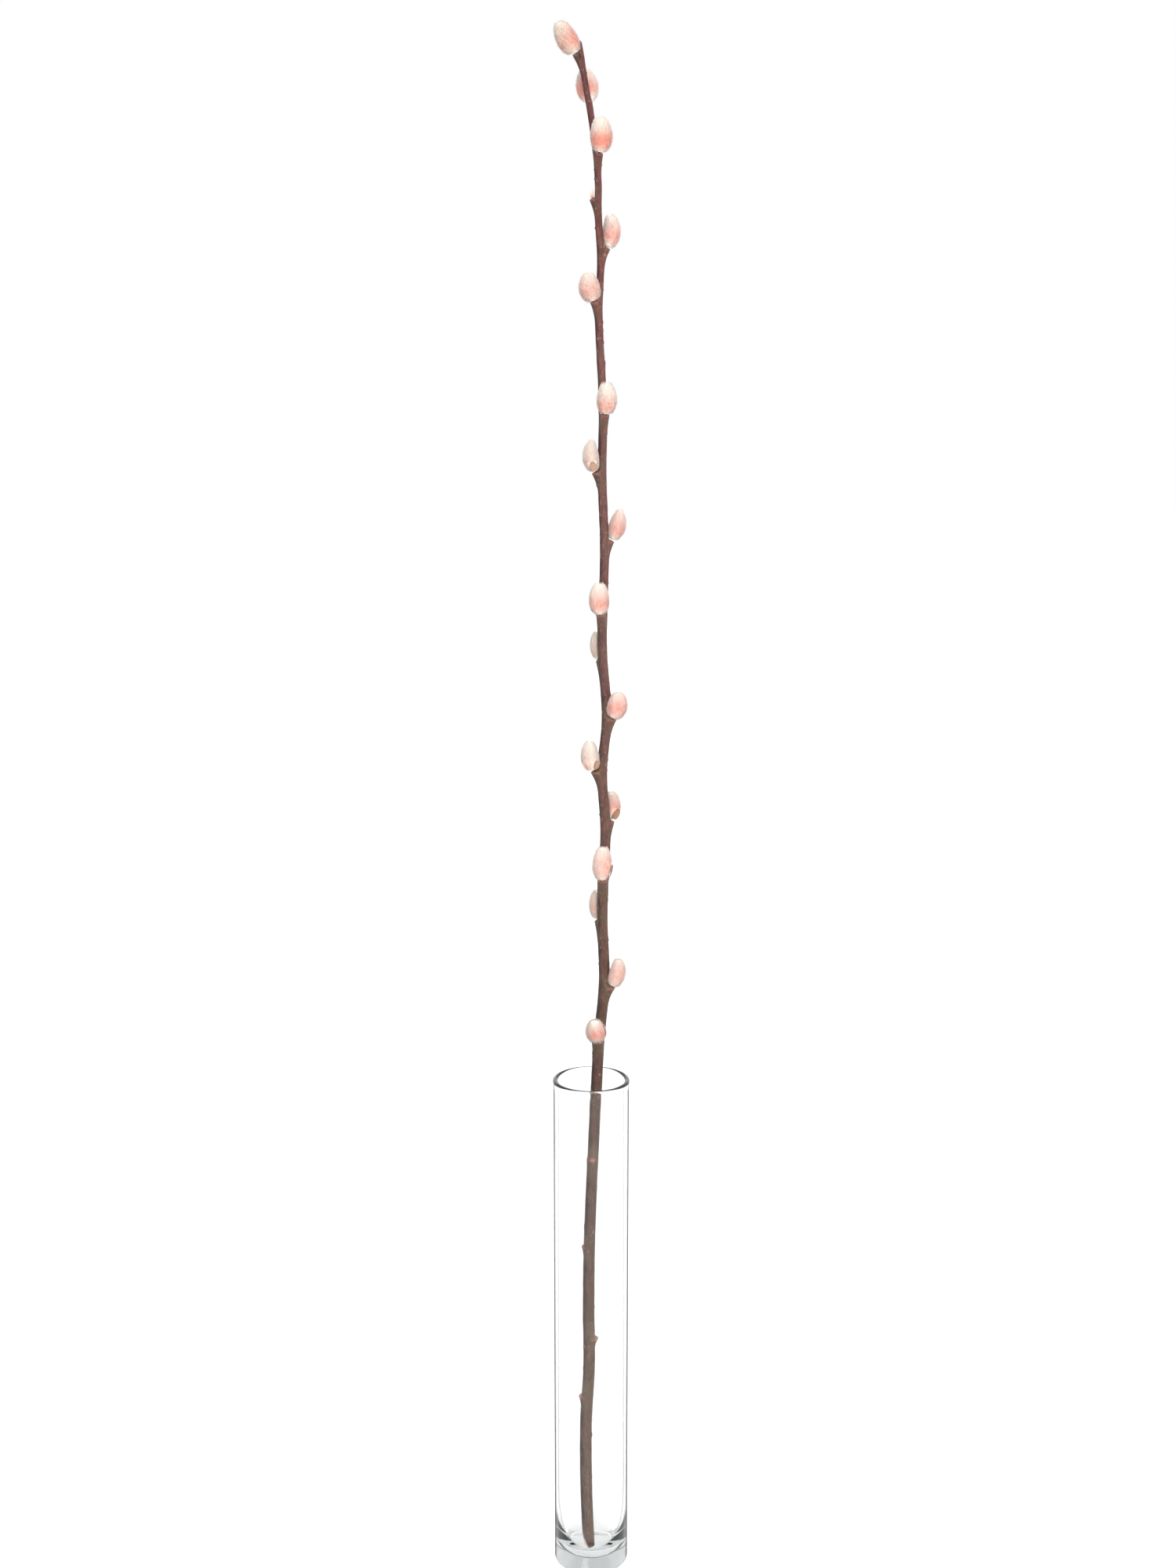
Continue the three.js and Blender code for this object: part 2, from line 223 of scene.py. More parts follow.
through_glass = add(tree, "Math", {
    0: ray.outputs["Is Transmission Ray"], 1: SEEN_THROUGH_GLASS}, operation="MULTIPLY")
front_wall = add(tree, "Math", {0: doorway, 1: through_glass}, operation="MAXIMUM")
walls = add(tree, "Mix", {0: ray.outputs["Is Diffuse Ray"], 2: front_wall, 3: front_to_back})
room = add(tree, "Math", {0: walls, 1: overhead}, operation="ADD")
backdrop = add(tree, "Math", {0: room, 1: ray.outputs["Is Camera Ray"]}, operation="MAXIMUM")
white_wall = tree.nodes["Background"]
white_wall.inputs["Color"].default_value = colour("#FFFFFF")
tree.links.new(backdrop.outputs[0], white_wall.inputs["Strength"])

key = bpy.data.lights.new("soft_key", "SUN")
key.energy = KEY_STRENGTH
key.angle = math.radians(KEY_WIDTH)
key_lamp = bpy.data.objects.new("soft_key", key)
key_lamp.rotation_euler = (math.radians(KEY_TILT), 0, math.radians(KEY_TURN))
bpy.context.collection.objects.link(key_lamp)
print("white room with one soft lamp")

# %% The floor
# Painted shade: in the glass's reflections, the floor's front part is painted dark grey, for the same
# reason as the room's dim side
FLOOR_SIZE, FLOOR_BELOW = 16, 0.0002  # metres
deselect()
bpy.ops.mesh.primitive_plane_add(size=FLOOR_SIZE, location=(0, 0, -FLOOR_BELOW))
floor = bpy.context.active_object
floor.name = "floor"
floor_paint, tree, place = new_material("matt_white_backdrop_paper")
mottle = add(tree, "TexNoise", {"Vector": place, "Scale": 3.0})
shade = add(tree, "ValToRGB", {"Fac": mottle}, stops=[(0.3, "#DEDEDE"), (0.7, "#E1E1E1")])
ray = add(tree, "LightPath")
mirrored = add(tree, "Math", {
    0: ray.outputs["Is Glossy Ray"], 1: ray.outputs["Is Transmission Ray"]}, operation="SUBTRACT",
    use_clamp=True)
heading = add(tree, "VectorMath", {0: place}, operation="NORMALIZE")
heading_y = add(tree, "SeparateXYZ", {0: heading})
in_front = add(tree, "MapRange", {
    "Value": heading_y.outputs["Y"], "From Min": -0.55, "From Max": -0.85})
veil = add(tree, "Math", {0: mirrored, 1: in_front}, operation="MULTIPLY")
# Painted shade: for rays mirrored off the glass, the floor in front turns dark grey
painted_dark_reflection = add(tree, "Mix", {0: veil, 6: shade, 7: colour("#303030")}, data_type="RGBA")
paper = add(tree, "BsdfPrincipled", {"Base Color": painted_dark_reflection.outputs[2], "Roughness": 0.9})
add(tree, "OutputMaterial", {"Surface": paper})
floor.data.materials.append(floor_paint)

# %% [markdown]
# ## Where the stem runs
# A willow shoot is never straight: it steps a little to the other side at each bud. Its centre line
# is given by a few points, as across, back and up, joined by a smooth curve that passes through
# every one of them. It is the same line that the CAD solid follows.

# %% The centre line
STEM_FOOT, STEM_TIP = 9.8, 1012.0
ROUTE = [
    (-1.4, -7.5, STEM_FOOT), (-3.2, -6.0, 58), (-3.4, -3.0, 104), (-1.3, 0.3, 145),
    (-1.7, 3.9, 185), (-1.2, 7.6, 228), (0.3, 11.2, 270), (3.4, 16.3, 335),
    (5.3, 19.7, 370), (8.7, 23.6, 410), (7.4, 27.6, 455), (9.4, 33.4, 512),
    (7.2, 36.2, 550), (10.1, 39.8, 585), (7.3, 43.8, 632), (8.6, 49.3, 696),
    (7.0, 53.6, 744), (7.6, 57.6, 784), (4.8, 61.6, 846), (6.1, 64.4, 878),
    (4.5, 66.2, 906), (4.1, 67.6, 934), (0.5, 69.2, 963), (-5.3, 68.6, 996),
    (-7.2, 67.9, STEM_TIP),
]


def smooth_line(points, steps=80):
    """Points of a smooth curve that passes through the given ones."""
    p = np.array(points, float)
    p = np.vstack([2 * p[0] - p[1], p, 2 * p[-1] - p[-2]])
    line = []
    for a, b, c, d in zip(p, p[1:], p[2:], p[3:]):
        ab, bc, cd = (np.linalg.norm(v) ** 0.5 for v in (b - a, c - b, d - c))
        leave = ((b - a) / ab - (c - a) / (ab + bc) + (c - b) / bc) * bc
        reach = ((c - b) / bc - (d - b) / (bc + cd) + (d - c) / cd) * bc
        u = np.linspace(0, 1, steps, endpoint=False)[:, None]
        line.append(b + leave * u + (3 * (c - b) - 2 * leave - reach) * u**2
                    + (2 * (b - c) + leave + reach) * u**3)
    return np.vstack([*line, p[-2:-1]])


LINE = smooth_line(ROUTE)


def centre(height):
    """The centre of the stem at a height, or at many heights."""
    height = np.asarray(height, float)
    across = np.interp(height, LINE[:, 2], LINE[:, 0])
    back = np.interp(height, LINE[:, 2], LINE[:, 1])
    return np.stack([across, back, height], axis=-1)


print("the stem wanders over", np.ptp(LINE, axis=0).round(1), "mm")

# %% [markdown]
# ## Buds along the stem
# Each bud sits on a cushion, a swelling that grows out of the bark and ends in a small shelf. The
# buds climb in a spiral, about 137.5 degrees from one to the next, so no bud shades the one below.

# %% Buds and scars
# height of the shelf, compass turn (0 is +X, 90 is +Y), catkin's length and width, and how far its
# tip leans out
BUDS = [dict(zip(("height", "turn", "length", "width", "tip"), row)) for row in [
    (370.5, 252, 15.5, 13.2, 5.0), (406.0, 342, 18.5, 11.4, 1.2), (449.3, 114, 18.5, 10.6, 0.5),
    (478.5, 261, 23.0, 12.8, 0.3), (516.0, 48, 18.0, 10.6, -0.5), (550.0, 202, 19.5, 12.6, 1.5),
    (585.0, 320, 17.0, 13.4, 1.2), (622.0, 112, 17.5, 10.4, 0.5), (653.0, 252, 20.5, 13.2, 0.5),
    (700.0, 8, 19.5, 12.0, 2.6), (744.0, 201, 20.0, 10.8, -0.5), (781.0, 289, 20.0, 12.6, 0.0),
    (852.0, 222, 17.0, 13.6, 1.5), (885.5, 18, 20.0, 12.2, -0.5), (916.0, 180, 7.6, 3.2, 0.4),
    (944.0, 303, 21.0, 14.0, 0.5), (976.0, 84, 19.0, 13.8, 0.5), (1004.0, 196, 18.5, 14.4, 6.5)]]
# proud is how far a shelf stands out, where it isn't the usual
for number, special in {6: dict(proud=4.6), 7: dict(proud=4.5), 10: dict(proud=3.6, pointed=True),
                        11: dict(pointed=True), 15: dict(proud=3.4, closed=True)}.items():
    BUDS[number - 1].update(special)
# Scars are bare nodes, where a bud was rubbed off or never opened: height, turn and proud
SCARS = [dict(zip(("height", "turn", "proud"), row)) for row in [
    (123, 180, 2.0), (164, 350, 2.5), (228, 172, 1.5), (289, 262, 0.8), (328, 95, 0.6), (815, 62, 1.0)]]
print(len(BUDS), "buds and", len(SCARS), "scars")

# %% How thick the wood is
FOOT_RADIUS, TIP_RADIUS = 4.0, 1.9
TIP_END_RADIUS, TIP_TAPER = 1.1, 9.0


def wood_radius(height):
    share = np.clip((height - STEM_FOOT) / (STEM_TIP - STEM_FOOT), 0, 1)
    last = np.clip(1 - (STEM_TIP - height) / TIP_TAPER, 0, 1)
    return FOOT_RADIUS - (FOOT_RADIUS - TIP_RADIUS) * share**2 - (TIP_RADIUS - TIP_END_RADIUS) * last


print("radius at foot, middle and tip:", *(round(float(wood_radius(h)), 2) for h in (13, 512, 1003)))

# %% The cushions under the buds
SHELF_PROUD, SHELF_ROUND = 4.1, 1.03
SHELF_RAMP, SCAR_RAMP = 13.0, 7.0
SHELF_DROP, LEAST_DROP = 0.55, 0.9
SWELL_CURVE = 1.9


def cushion(node, ramp):
    """A swelling as numbers: it grows along its ramp, ends in a shelf and drops back to the wood."""
    wood = wood_radius(node["height"])
    proud = node.get("proud", SHELF_PROUD)
    edge = SHELF_ROUND * wood
    return dict(height=node["height"], turn=math.radians(node["turn"]), ramp=ramp, edge=edge,
                drop=max(LEAST_DROP, SHELF_DROP * proud), offset=wood + proud - edge)


CUSHIONS = [cushion(bud, SHELF_RAMP) for bud in BUDS] + [cushion(scar, SCAR_RAMP) for scar in SCARS]
BLEND = 0.35  # how softly a cushion melts into the stem, in mm


def stem_radius(height, turn):
    """The stem's radius at heights and turns."""
    radius = wood_radius(height)
    for c in CUSHIONS:
        below = (height - (c["height"] - c["ramp"])) / c["ramp"]
        above = 1 - (height - c["height"]) / c["drop"]
        grown = np.minimum(np.clip(below, 0, 1) ** SWELL_CURVE, np.clip(above, 0, 1))
        across = c["offset"] * grown * np.sin(turn - c["turn"])
        along = c["offset"] * grown * np.cos(turn - c["turn"])
        outer = along + np.sqrt(np.maximum(c["edge"] ** 2 - across**2, 0))
        there = (below > 0) & (above > 0) & (along >= 0) & (np.abs(across) < c["edge"])
        soft = (radius + outer + np.sqrt((radius - outer) ** 2 + (BLEND * grown) ** 2)) / 2
        radius = np.where(there, np.maximum(radius, soft), radius)
    return radius


# %% [markdown]
# ## The stem
# Young willow bark is thin, smooth and faintly ribbed, dotted with corky breathing pores called
# lenticels. The stem starts as a plain cylinder. Its long edges are subdivided into about 1,500
# short bands, as a loop cut would, and then every point is carried by formula onto the winding
# centre line, out to the radius of the wood or of a cushion. No bevel or sculpt brush could place
# eighteen spiral shelves this exactly, which is why this piece is shaped by numbers.

# %% A cylinder with many bands
STEM_SIDES = 44
FIRST_CUTS, SECOND_CUTS = 29, 49
deselect()
bpy.ops.mesh.primitive_cylinder_add(vertices=STEM_SIDES, radius=FOOT_RADIUS * MM, depth=1,
                                    end_fill_type="TRIFAN", location=(0, 0, 0.5))
stem = bpy.context.active_object
bpy.ops.object.transform_apply(location=True)
bpy.ops.object.mode_set(mode="EDIT")
for cuts in (FIRST_CUTS, SECOND_CUTS):
    select_where(stem, "EDGE", lambda edge: abs(edge.verts[0].co.z - edge.verts[1].co.z) > 1e-6)
    bpy.ops.mesh.subdivide(number_cuts=cuts)
bpy.ops.object.mode_set(mode="OBJECT")
print("stem starts with", len(stem.data.vertices), "points")

# %% Heights of the bands
BANDS = (FIRST_CUTS + 1) * (SECOND_CUTS + 1)
heights = np.linspace(STEM_FOOT, STEM_TIP, BANDS + 1)
for c in CUSHIONS:  # the nearest bands move to each shelf's edge and foot, so it stays crisp
    for exact in (c["height"] - 0.15, c["height"] + 0.1, c["height"] + c["drop"]):
        heights[np.argmin(np.abs(heights - exact))] = exact
heights = np.sort(heights)
print("bands are about", round((STEM_TIP - STEM_FOOT) / BANDS, 2), "mm high")

# %% Lenticels and other small relief
# Corky pores 0.6 to 1.2 mm across and raised up to 0.4 mm, a little taller than wide.
LENTICELS = 330
lenticel_draw = np.random.default_rng(41)
pores = np.column_stack([
    lenticel_draw.uniform(STEM_FOOT + 5, STEM_TIP - 12, LENTICELS),
    lenticel_draw.uniform(0, 2 * math.pi, LENTICELS),
    lenticel_draw.uniform(0.32, 0.62, LENTICELS),  # half width
    lenticel_draw.uniform(0.16, 0.42, LENTICELS),  # how far it stands up
])
pores[: LENTICELS // 6, 2:] *= 1.9  # one in six is big enough to show on the outline


def pore_field(height, turn, wood):
    """How far the pores raise the bark, and how much of a pore a point belongs to."""
    raised = np.zeros_like(height)
    corky = np.zeros_like(height)
    for at, facing, half, up in pores:
        close = np.abs(height - at) < 4 * half
        around = (turn[close] - facing + math.pi) % (2 * math.pi) - math.pi
        away = np.hypot(around * wood[close] / half, (height[close] - at) / (1.35 * half))
        mound = np.exp(-(away**2) * 1.2)
        raised[close] += up * mound
        corky[close] = np.maximum(corky[close], mound)
    return raised, corky


# %% Wrap the bands round the centre line
CUT_LENGTH, CUT_DEPTH, CUT_FACES, FOOT_SLANT = 19.0, 0.2, math.radians(205), 0.3
TIP_CAP = np.array([-0.2, 0.0, 1.2])
RIB_DEPTH, LUMP_DEPTH = 0.10, 0.12
flat = points_of(stem)
turn = np.arctan2(flat[:, 1], flat[:, 0])
height = heights[np.rint(flat[:, 2] * BANDS).astype(int)]
on_axis = np.hypot(flat[:, 0], flat[:, 1]) < 1e-6
wood = wood_radius(height)
radius = stem_radius(height, turn)
swollen = np.clip((radius - wood) / 1.2, 0, 1)

# Ribs are drawn out along the stem, and lumps are rounder
ribs = np.array([noise.noise(Vector((math.cos(a) * 2.6, math.sin(a) * 2.6, h * 0.035)))
                 for a, h in zip(turn, height)])
lumps = np.array([noise.noise(Vector((math.cos(a) * 1.1 + 9, math.sin(a) * 1.1, h * 0.11)))
                  for a, h in zip(turn, height)])
raised, corky = pore_field(height, turn, wood)
radius = radius + RIB_DEPTH * ribs + LUMP_DEPTH * lumps + raised * (1 - 0.6 * swollen)

out = np.stack([np.cos(turn), np.sin(turn), np.zeros_like(turn)], axis=-1)
arm = out * np.where(on_axis, 0, radius)[:, None]
cut_way = np.array([math.cos(CUT_FACES), math.sin(CUT_FACES), 0])
taken = np.clip(1 - (height - STEM_FOOT) / CUT_LENGTH, 0, 1) * CUT_DEPTH
over = arm @ cut_way - wood * (1 - 2 * taken)
sliced = (taken > 0) & (over > 0)
arm -= np.where(sliced, over, 0)[:, None] * cut_way
arm[:, 2] += np.where(height == STEM_FOOT, FOOT_SLANT * arm[:, 0], 0)
placed = centre(height) + arm
placed[on_axis & (height == STEM_TIP)] += TIP_CAP
move_points(stem, placed * MM)
print("stem box", placed.min(0).round(1), placed.max(0).round(1))

# %% Values that the bark material reads
# A shelf's lip is under 1 mm wide, and an olive tint reaches some 6 mm above and below it
lip = np.zeros_like(height)
olive = np.zeros_like(height)
blush = np.zeros_like(height)
for i, c in enumerate(CUSHIONS):
    facing = np.clip(np.cos(turn - c["turn"]) * 1.6 - 0.2, 0, 1)
    near_edge = np.exp(-(((height - c["height"]) / 0.9) ** 2))
    lip = np.maximum(lip, near_edge * facing * swollen)
    over_shelf = np.exp(-(((height - c["height"] - 5) / 6) ** 2))
    under_shelf = np.exp(-(((height - c["height"] + 5) / 7) ** 2)) * 0.6
    olive = np.maximum(olive, np.maximum(over_shelf, under_shelf) * np.clip(facing + 0.35, 0, 1))
    if i >= len(BUDS):
        narrow = np.clip(np.cos(turn - c["turn"]) * 9 - 7.6 + 2.5 * lumps, 0, 1)
        spot = np.exp(-(((height - c["height"]) / 1.5) ** 2))
        blush = np.maximum(blush, spot * narrow * 0.6)
# Painted shade: the bark is darkened and dulled on one side, turned about 192 degrees, as if that side
# lay in shade
north = np.clip(np.cos(turn - math.radians(192)) * 2.4 - 1.2 + 0.8 * lumps, 0, 1)
ragged = np.clip(1.4 - (height - STEM_FOOT) / 9 + 1.5 * lumps, 0, 1)
cut = np.where(on_axis & (height == STEM_FOOT), 1, sliced * ragged)
paint_values(stem, north=north, lip=lip, olive=olive, scar=blush, pore=corky, cut=cut)

# %% [markdown]
# Willow bark dried on the stem: reddish brown at the young top, greyer and more olive towards the
# older foot. It is a satin skin with fine lengthwise streaks 0.3 to 0.5 mm wide and pale corky
# specks, so the shine is broken up. The streaks come from a noise squeezed to a twelfth along Z.

# %% Bark material
bark, tree, place = new_material("young_willow_bark_dried")
upright = add(tree, "SeparateXYZ", {0: place}).outputs["Z"]
share = add(tree, "MapRange", {"Value": upright, "From Max": STEM_TIP * MM})
age = add(tree, "ValToRGB", {"Fac": share}, stops=[
    (0.02, "#674F3F"), (0.20, "#5E4433"), (0.34, "#593E33"), (0.44, "#6B4C40"),
    (0.60, "#734C46"), (0.78, "#7B504C"), (0.86, "#78423D"), (0.97, "#703738")])
stretched = add(tree, "Mapping", {"Vector": place, "Scale": (1, 1, 0.08)})
streaks = add(tree, "TexNoise", {"Vector": stretched, "Scale": 2300.0, "Detail": 3.0, "Roughness": 0.6})
streak_shade = add(tree, "ValToRGB", {"Fac": streaks}, stops=[(0.34, 0.5), (0.5, 0.95), (0.66, 1.45)])
patch_shape = add(tree, "Mapping", {"Vector": place, "Scale": (1, 1, 0.3)})
patches = add(tree, "TexNoise", {
    "Vector": patch_shape, "Scale": 480.0, "Detail": 3.0, "Roughness": 0.6})
patch_shade = add(tree, "ValToRGB", {
    "Fac": patches}, stops=[(0.34, "#605C56"), (0.5, "#7E7A78"), (0.66, "#B2989A")])
north, near_buds, on_lip, in_pore, on_scar, on_cut = (
    add(tree, "Attribute", attribute_name=name).outputs["Fac"]
    for name in ("north", "olive", "lip", "pore", "scar", "cut"))
# Painted shade: one side of the bark is multiplied by a dull grey-purple, as if in shade
sided = add(tree, "Mix", {
    0: north, 6: age, 7: colour("#8E868E")}, data_type="RGBA", blend_type="MULTIPLY")
streaked = add(tree, "Mix", {
    0: 1.0, 6: sided.outputs[2], 7: streak_shade}, data_type="RGBA", blend_type="MULTIPLY")
weathered = add(tree, "Mix", {
    0: 0.5, 6: streaked.outputs[2], 7: patch_shade}, data_type="RGBA", blend_type="OVERLAY")
cells = add(tree, "Mapping", {"Vector": place, "Scale": (1, 1, 0.55)})
specks = add(tree, "TexVoronoi", {"Vector": cells, "Scale": 620.0})
speck_size = add(tree, "Math", {0: specks, 1: 0.2}, operation="LESS_THAN")
some_cells = add(tree, "SeparateColor", {0: specks.outputs["Color"]})
chosen = add(tree, "Math", {0: some_cells, 1: 0.72}, operation="GREATER_THAN")
speck = add(tree, "Math", {0: speck_size, 1: chosen}, operation="MULTIPLY")
pore_core = add(tree, "MapRange", {"Value": in_pore, "From Min": 0.45, "From Max": 0.9})
dots = add(tree, "Math", {0: speck, 1: pore_core}, operation="MAXIMUM")
# Each layer lies on those before it: where it is, how strongly it covers, and its colour
bark_colour = weathered.outputs[2]
for where, cover, shade in [(near_buds, 0.55, "#6A5A44"), (on_lip, 0.75, "#8E5E4E"),
                            (dots, 0.45, "#A88C7C"), (on_scar, 1.0, "#B08274"), (on_cut, 1.0, "#E6CCBE")]:
    amount = add(tree, "Math", {0: where, 1: cover}, operation="MULTIPLY")
    layer = add(tree, "Mix", {0: amount, 6: bark_colour, 7: colour(shade)}, data_type="RGBA")
    bark_colour = layer.outputs[2]
shine = add(tree, "MapRange", {"Value": streaks, "To Min": 0.48, "To Max": 0.72})
bumps = add(tree, "Bump", {"Strength": 0.8, "Distance": 0.0002, "Height": streaks})
bark_skin = add(tree, "BsdfPrincipled", {
    "Base Color": bark_colour, "Roughness": shine, "IOR": 1.42, "Normal": bumps})
add(tree, "OutputMaterial", {"Surface": bark_skin})

# %% Finish the stem
face_outwards(stem)
choose(stem)
bpy.ops.object.shade_smooth_by_angle(angle=math.radians(50))
settle(stem, "stem_bark", "stem", bark)
print("stem has", len(stem.data.polygons), "faces")

# %% [markdown]
# ## Catkins
# A catkin in bud is an egg of tiny flowers, each wrapped in silky hair that lies up towards the tip.
# The hair is pink at the bottom half and cream above, and its pale ends catch the light, which is
# what gives the soft white outline. Particle hair would be lost in the exported model, so each hair
# is a real three-sided spike, modelled once and copied some thousands of times over a felted egg.

# %% The line a bud grows along
GAP, PRESSED = 0.35, 0.8
SEAT_AT, BELLY_AT, BELLY_LOW, CLOSED_LOW = 0.5, 0.42, 0.83, 0.6
BLUNT, POINTED, SLIM = 0.47, 0.66, 0.8
TUFT_OUT = 0.95


def grow_bud(index):
    """A bud's curve as three handles, with the direction it faces."""
    bud, c = BUDS[index], CUSHIONS[index]
    facing = np.array([math.cos(c["turn"]), math.sin(c["turn"]), 0])
    wood = float(wood_radius(bud["height"]))
    seat = wood + SEAT_AT * (c["offset"] + c["edge"] - wood)
    belly = wood + GAP + PRESSED * bud["width"] / 2
    tip = belly + bud["tip"]
    bend = (belly - (1 - BELLY_AT) ** 2 * seat - BELLY_AT**2 * tip) / (2 * BELLY_AT * (1 - BELLY_AT))
    foot = bud["height"] + (1 - SEAT_AT) * c["drop"] + GAP
    root = centre(bud["height"])

    def handle(distance, height):
        place = root + facing * distance
        place[:2] += (centre(min(height, STEM_TIP)) - root)[:2] * (height > foot)
        place[2] = height
        return place

    half_way, top = foot + bud["length"] / 2, foot + bud["length"]
    handles = [handle(seat, foot), handle(bend, half_way), handle(tip, top)]
    return dict(bud, handles=handles, facing=facing)


def along_bud(bud, t):
    """The place and the direction on a bud's curve, at shares t of its length."""
    a, b, c = bud["handles"]
    t = np.asarray(t, float)[..., None]
    place = (1 - t) ** 2 * a + 2 * t * (1 - t) * b + t**2 * c
    way = 2 * (1 - t) * (b - a) + 2 * t * (c - b)
    return place, unit(way)


def fullness(bud, t):
    low = CLOSED_LOW if bud.get("closed") else BELLY_LOW
    wave = np.sin(np.pi * np.clip(t, 0, 1) ** low)
    if bud.get("closed"):
        return np.maximum(wave, 0) ** SLIM
    return np.maximum(wave, 0) ** (POINTED if bud.get("pointed") else BLUNT)


# %% Points on a bud's skin
def on_bud(bud, t, angle, half, above=0.0):
    """Points at shares t and angles round a bud whose half width is half, pressed to the stem."""
    place, way = along_bud(bud, t)
    facing = bud["facing"]
    outward = unit(facing - (way @ facing)[..., None] * way)
    sideways = np.cross(way, outward)
    radius = half * fullness(bud, t) + above
    squeezed = np.where(np.cos(angle) < 0, PRESSED, 1.0)
    point = place + outward * (radius * np.cos(angle) * squeezed)[..., None]
    point = point + sideways * (radius * np.sin(angle))[..., None]
    height = np.minimum(point[..., 2], STEM_TIP)
    reach = ((point - centre(height))[..., :2]) @ facing[:2]
    least = wood_radius(height) + GAP + 0.1 * (1 + above)
    return point + facing * np.maximum(least - reach, 0)[..., None]


grown = [grow_bud(i) for i in range(len(BUDS))]
print("the first three tips are at", [round(float(g["handles"][2][2])) for g in grown][:3], "mm")

# %% One hair, modelled once
# Real silk hairs are about 0.02 mm thick and number tens of thousands on one catkin. These are
# about seven times as thick and a fifteenth as many, which covers the egg just as densely.
deselect()
bpy.ops.mesh.primitive_cone_add(vertices=3, radius1=1, radius2=0, depth=1, location=(0, 0, 0.5),
                                end_fill_type="NGON")
hair_shape = bpy.context.active_object
bpy.ops.object.transform_apply(location=True)
bpy.ops.object.mode_set(mode="EDIT")
bpy.ops.mesh.select_all(action="SELECT")
bpy.ops.mesh.bisect(plane_co=(0, 0, 0.5), plane_no=(0, 0, 1))
bpy.ops.object.mode_set(mode="OBJECT")
HAIR_POINTS = points_of(hair_shape)
HAIR_POINTS[:, 2] = np.clip(HAIR_POINTS[:, 2], 0, 1)
HAIR_FACES = [list(face.vertices) for face in hair_shape.data.polygons]
middle = np.abs(HAIR_POINTS[:, 2] - 0.5) < 0.01
HAIR_POINTS[middle, :2] *= 1.55  # the hair stays thick until past its middle
bpy.data.objects.remove(hair_shape)
print("one hair:", len(HAIR_POINTS), "points,", len(HAIR_FACES), "faces")

# %% The look of each catkin
# How pink it is, where along it the pink is strongest, how far the pink spreads and how grey its top
# is. Some have a side painted paler, as painted light: the compass turn that it faces, and how pale it
# is.
LOOK_NAMES = ("pink", "at", "spread", "grey", "painted_light_turn", "pale")
LOOKS = {
    1: (1.05, 0.48, 0.28, 0.3, 340, 0.6), 2: (0.65, 0.42, 0.40, 0.2), 3: (0.45, 0.34, 0.34, 0.7),
    4: (0.75, 0.40, 0.36, 0.05, 330, 0.45), 5: (0.8, 0.45, 0.36, 0.05), 6: (0.25, 0.30, 0.34, 0.1),
    7: (0.85, 0.42, 0.36, 0.0), 8: (0.3, 0.30, 0.30, 0.5), 9: (0.8, 0.36, 0.26, 0.05, 0, 0.35),
    10: (0.75, 0.38, 0.38, 0.1), 11: (0.25, 0.40, 0.35, 0.25), 12: (0.8, 0.26, 0.22, 0.2, 180, 0.3),
    13: (0.65, 0.38, 0.36, 0.1), 14: (0.95, 0.32, 0.30, 0.05), 16: (1.25, 0.33, 0.22, 0.3),
    17: (1.4, 0.32, 0.28, 0.15, 180, 0.5), 18: (1.25, 0.36, 0.30, 0.5, 180, 0.5),
}

# %% Bud scales that still cling
# side and spread are degrees round the catkin; low and high are shares of its length;
# pale is how far it has bleached from brown to pinkish straw
SCALE_NAMES = ("bud", "side", "spread", "low", "high", "pale")
SCALES = {name: dict(zip(SCALE_NAMES, row)) for name, row in {
    "bud_scale_01": (1, 112, 14, 0.12, 0.82, 0.85), "bud_scale_04": (4, 82, 20, 0.08, 0.5, 0.0),
    "bud_scale_05": (5, -96, 44, 0.03, 0.38, 0.15), "bud_scale_06a": (6, 104, 30, 0.05, 0.36, 0.3),
    "bud_scale_06b": (6, 12, 16, 0.08, 0.38, 0.8), "bud_scale_11": (11, 70, 40, 0.03, 0.31, 0.5),
}.items()}


def under_scale(number, t, angle, margin):
    """Which of these places on a catkin lie under a clinging scale."""
    covered = np.zeros(np.shape(t), bool)
    for scale in SCALES.values():
        if scale["bud"] == number:
            apart = np.abs((angle - math.radians(scale["side"]) + np.pi) % (2 * np.pi) - np.pi)
            covered |= (t < scale["high"]) & (apart < math.radians(scale["spread"] + margin))
    return covered


# %% Hair over a catkin
HAIRS = 4400
GOLDEN_ANGLE = math.radians(137.5)
FUR_DEPTH = 0.85  # from the felted egg out to the catkin's nominal width
SPARE_HAIRS = 1.25  # more roots than hairs, for those that the bark or a scale takes away
BARE_MARGIN = 8  # degrees beside a scale that have no hair
CLUMPS = 90
TUFT_AHEAD, SIDE_PULL, UP_PULL = 0.07, 0.22, 0.9  # how hairs lean towards the point of their tuft
EGG_FROM, EGG_TO, EGG_END = 0.02, 0.93, 0.955  # shares of the catkin's length
HAIR_LENGTH, LENGTH_VARIES = 2.6, 0.3
HAIR_LIFT, LIFT_VARIES = 25, 4  # degrees off the skin
STRAYS, STRAY_LIFT = 0.03, 0.45  # share of hairs that stand off more, and how much in radians
HAIR_CURVE = 0.22  # how much a hair bows outwards
THINNEST, THICKEST = 0.060, 0.085  # radius of a hair
HAIR_CLEARANCE = 0.12  # between a hair and the bark


def blush_at(look, bud, t, angle, mottle):
    """How pink the silk is at a place, from 0 to about 1."""
    rise = np.where(t < look["at"], 0.75, 1.25) * look["spread"]
    pink = look["pink"] * np.exp(-(((t - look["at"]) / rise) ** 2))
    # Painted light: on some catkins the pink fades on one side, as if lit there
    if "painted_light_turn" in look:
        turned = math.atan2(bud["facing"][1], bud["facing"][0])
        side = np.cos(turned - angle - math.radians(look["painted_light_turn"]))
        pink = pink * (1 - look["pale"] * np.clip(side + 0.2, 0, 1))
    return pink * (0.45 + 1.0 * mottle)


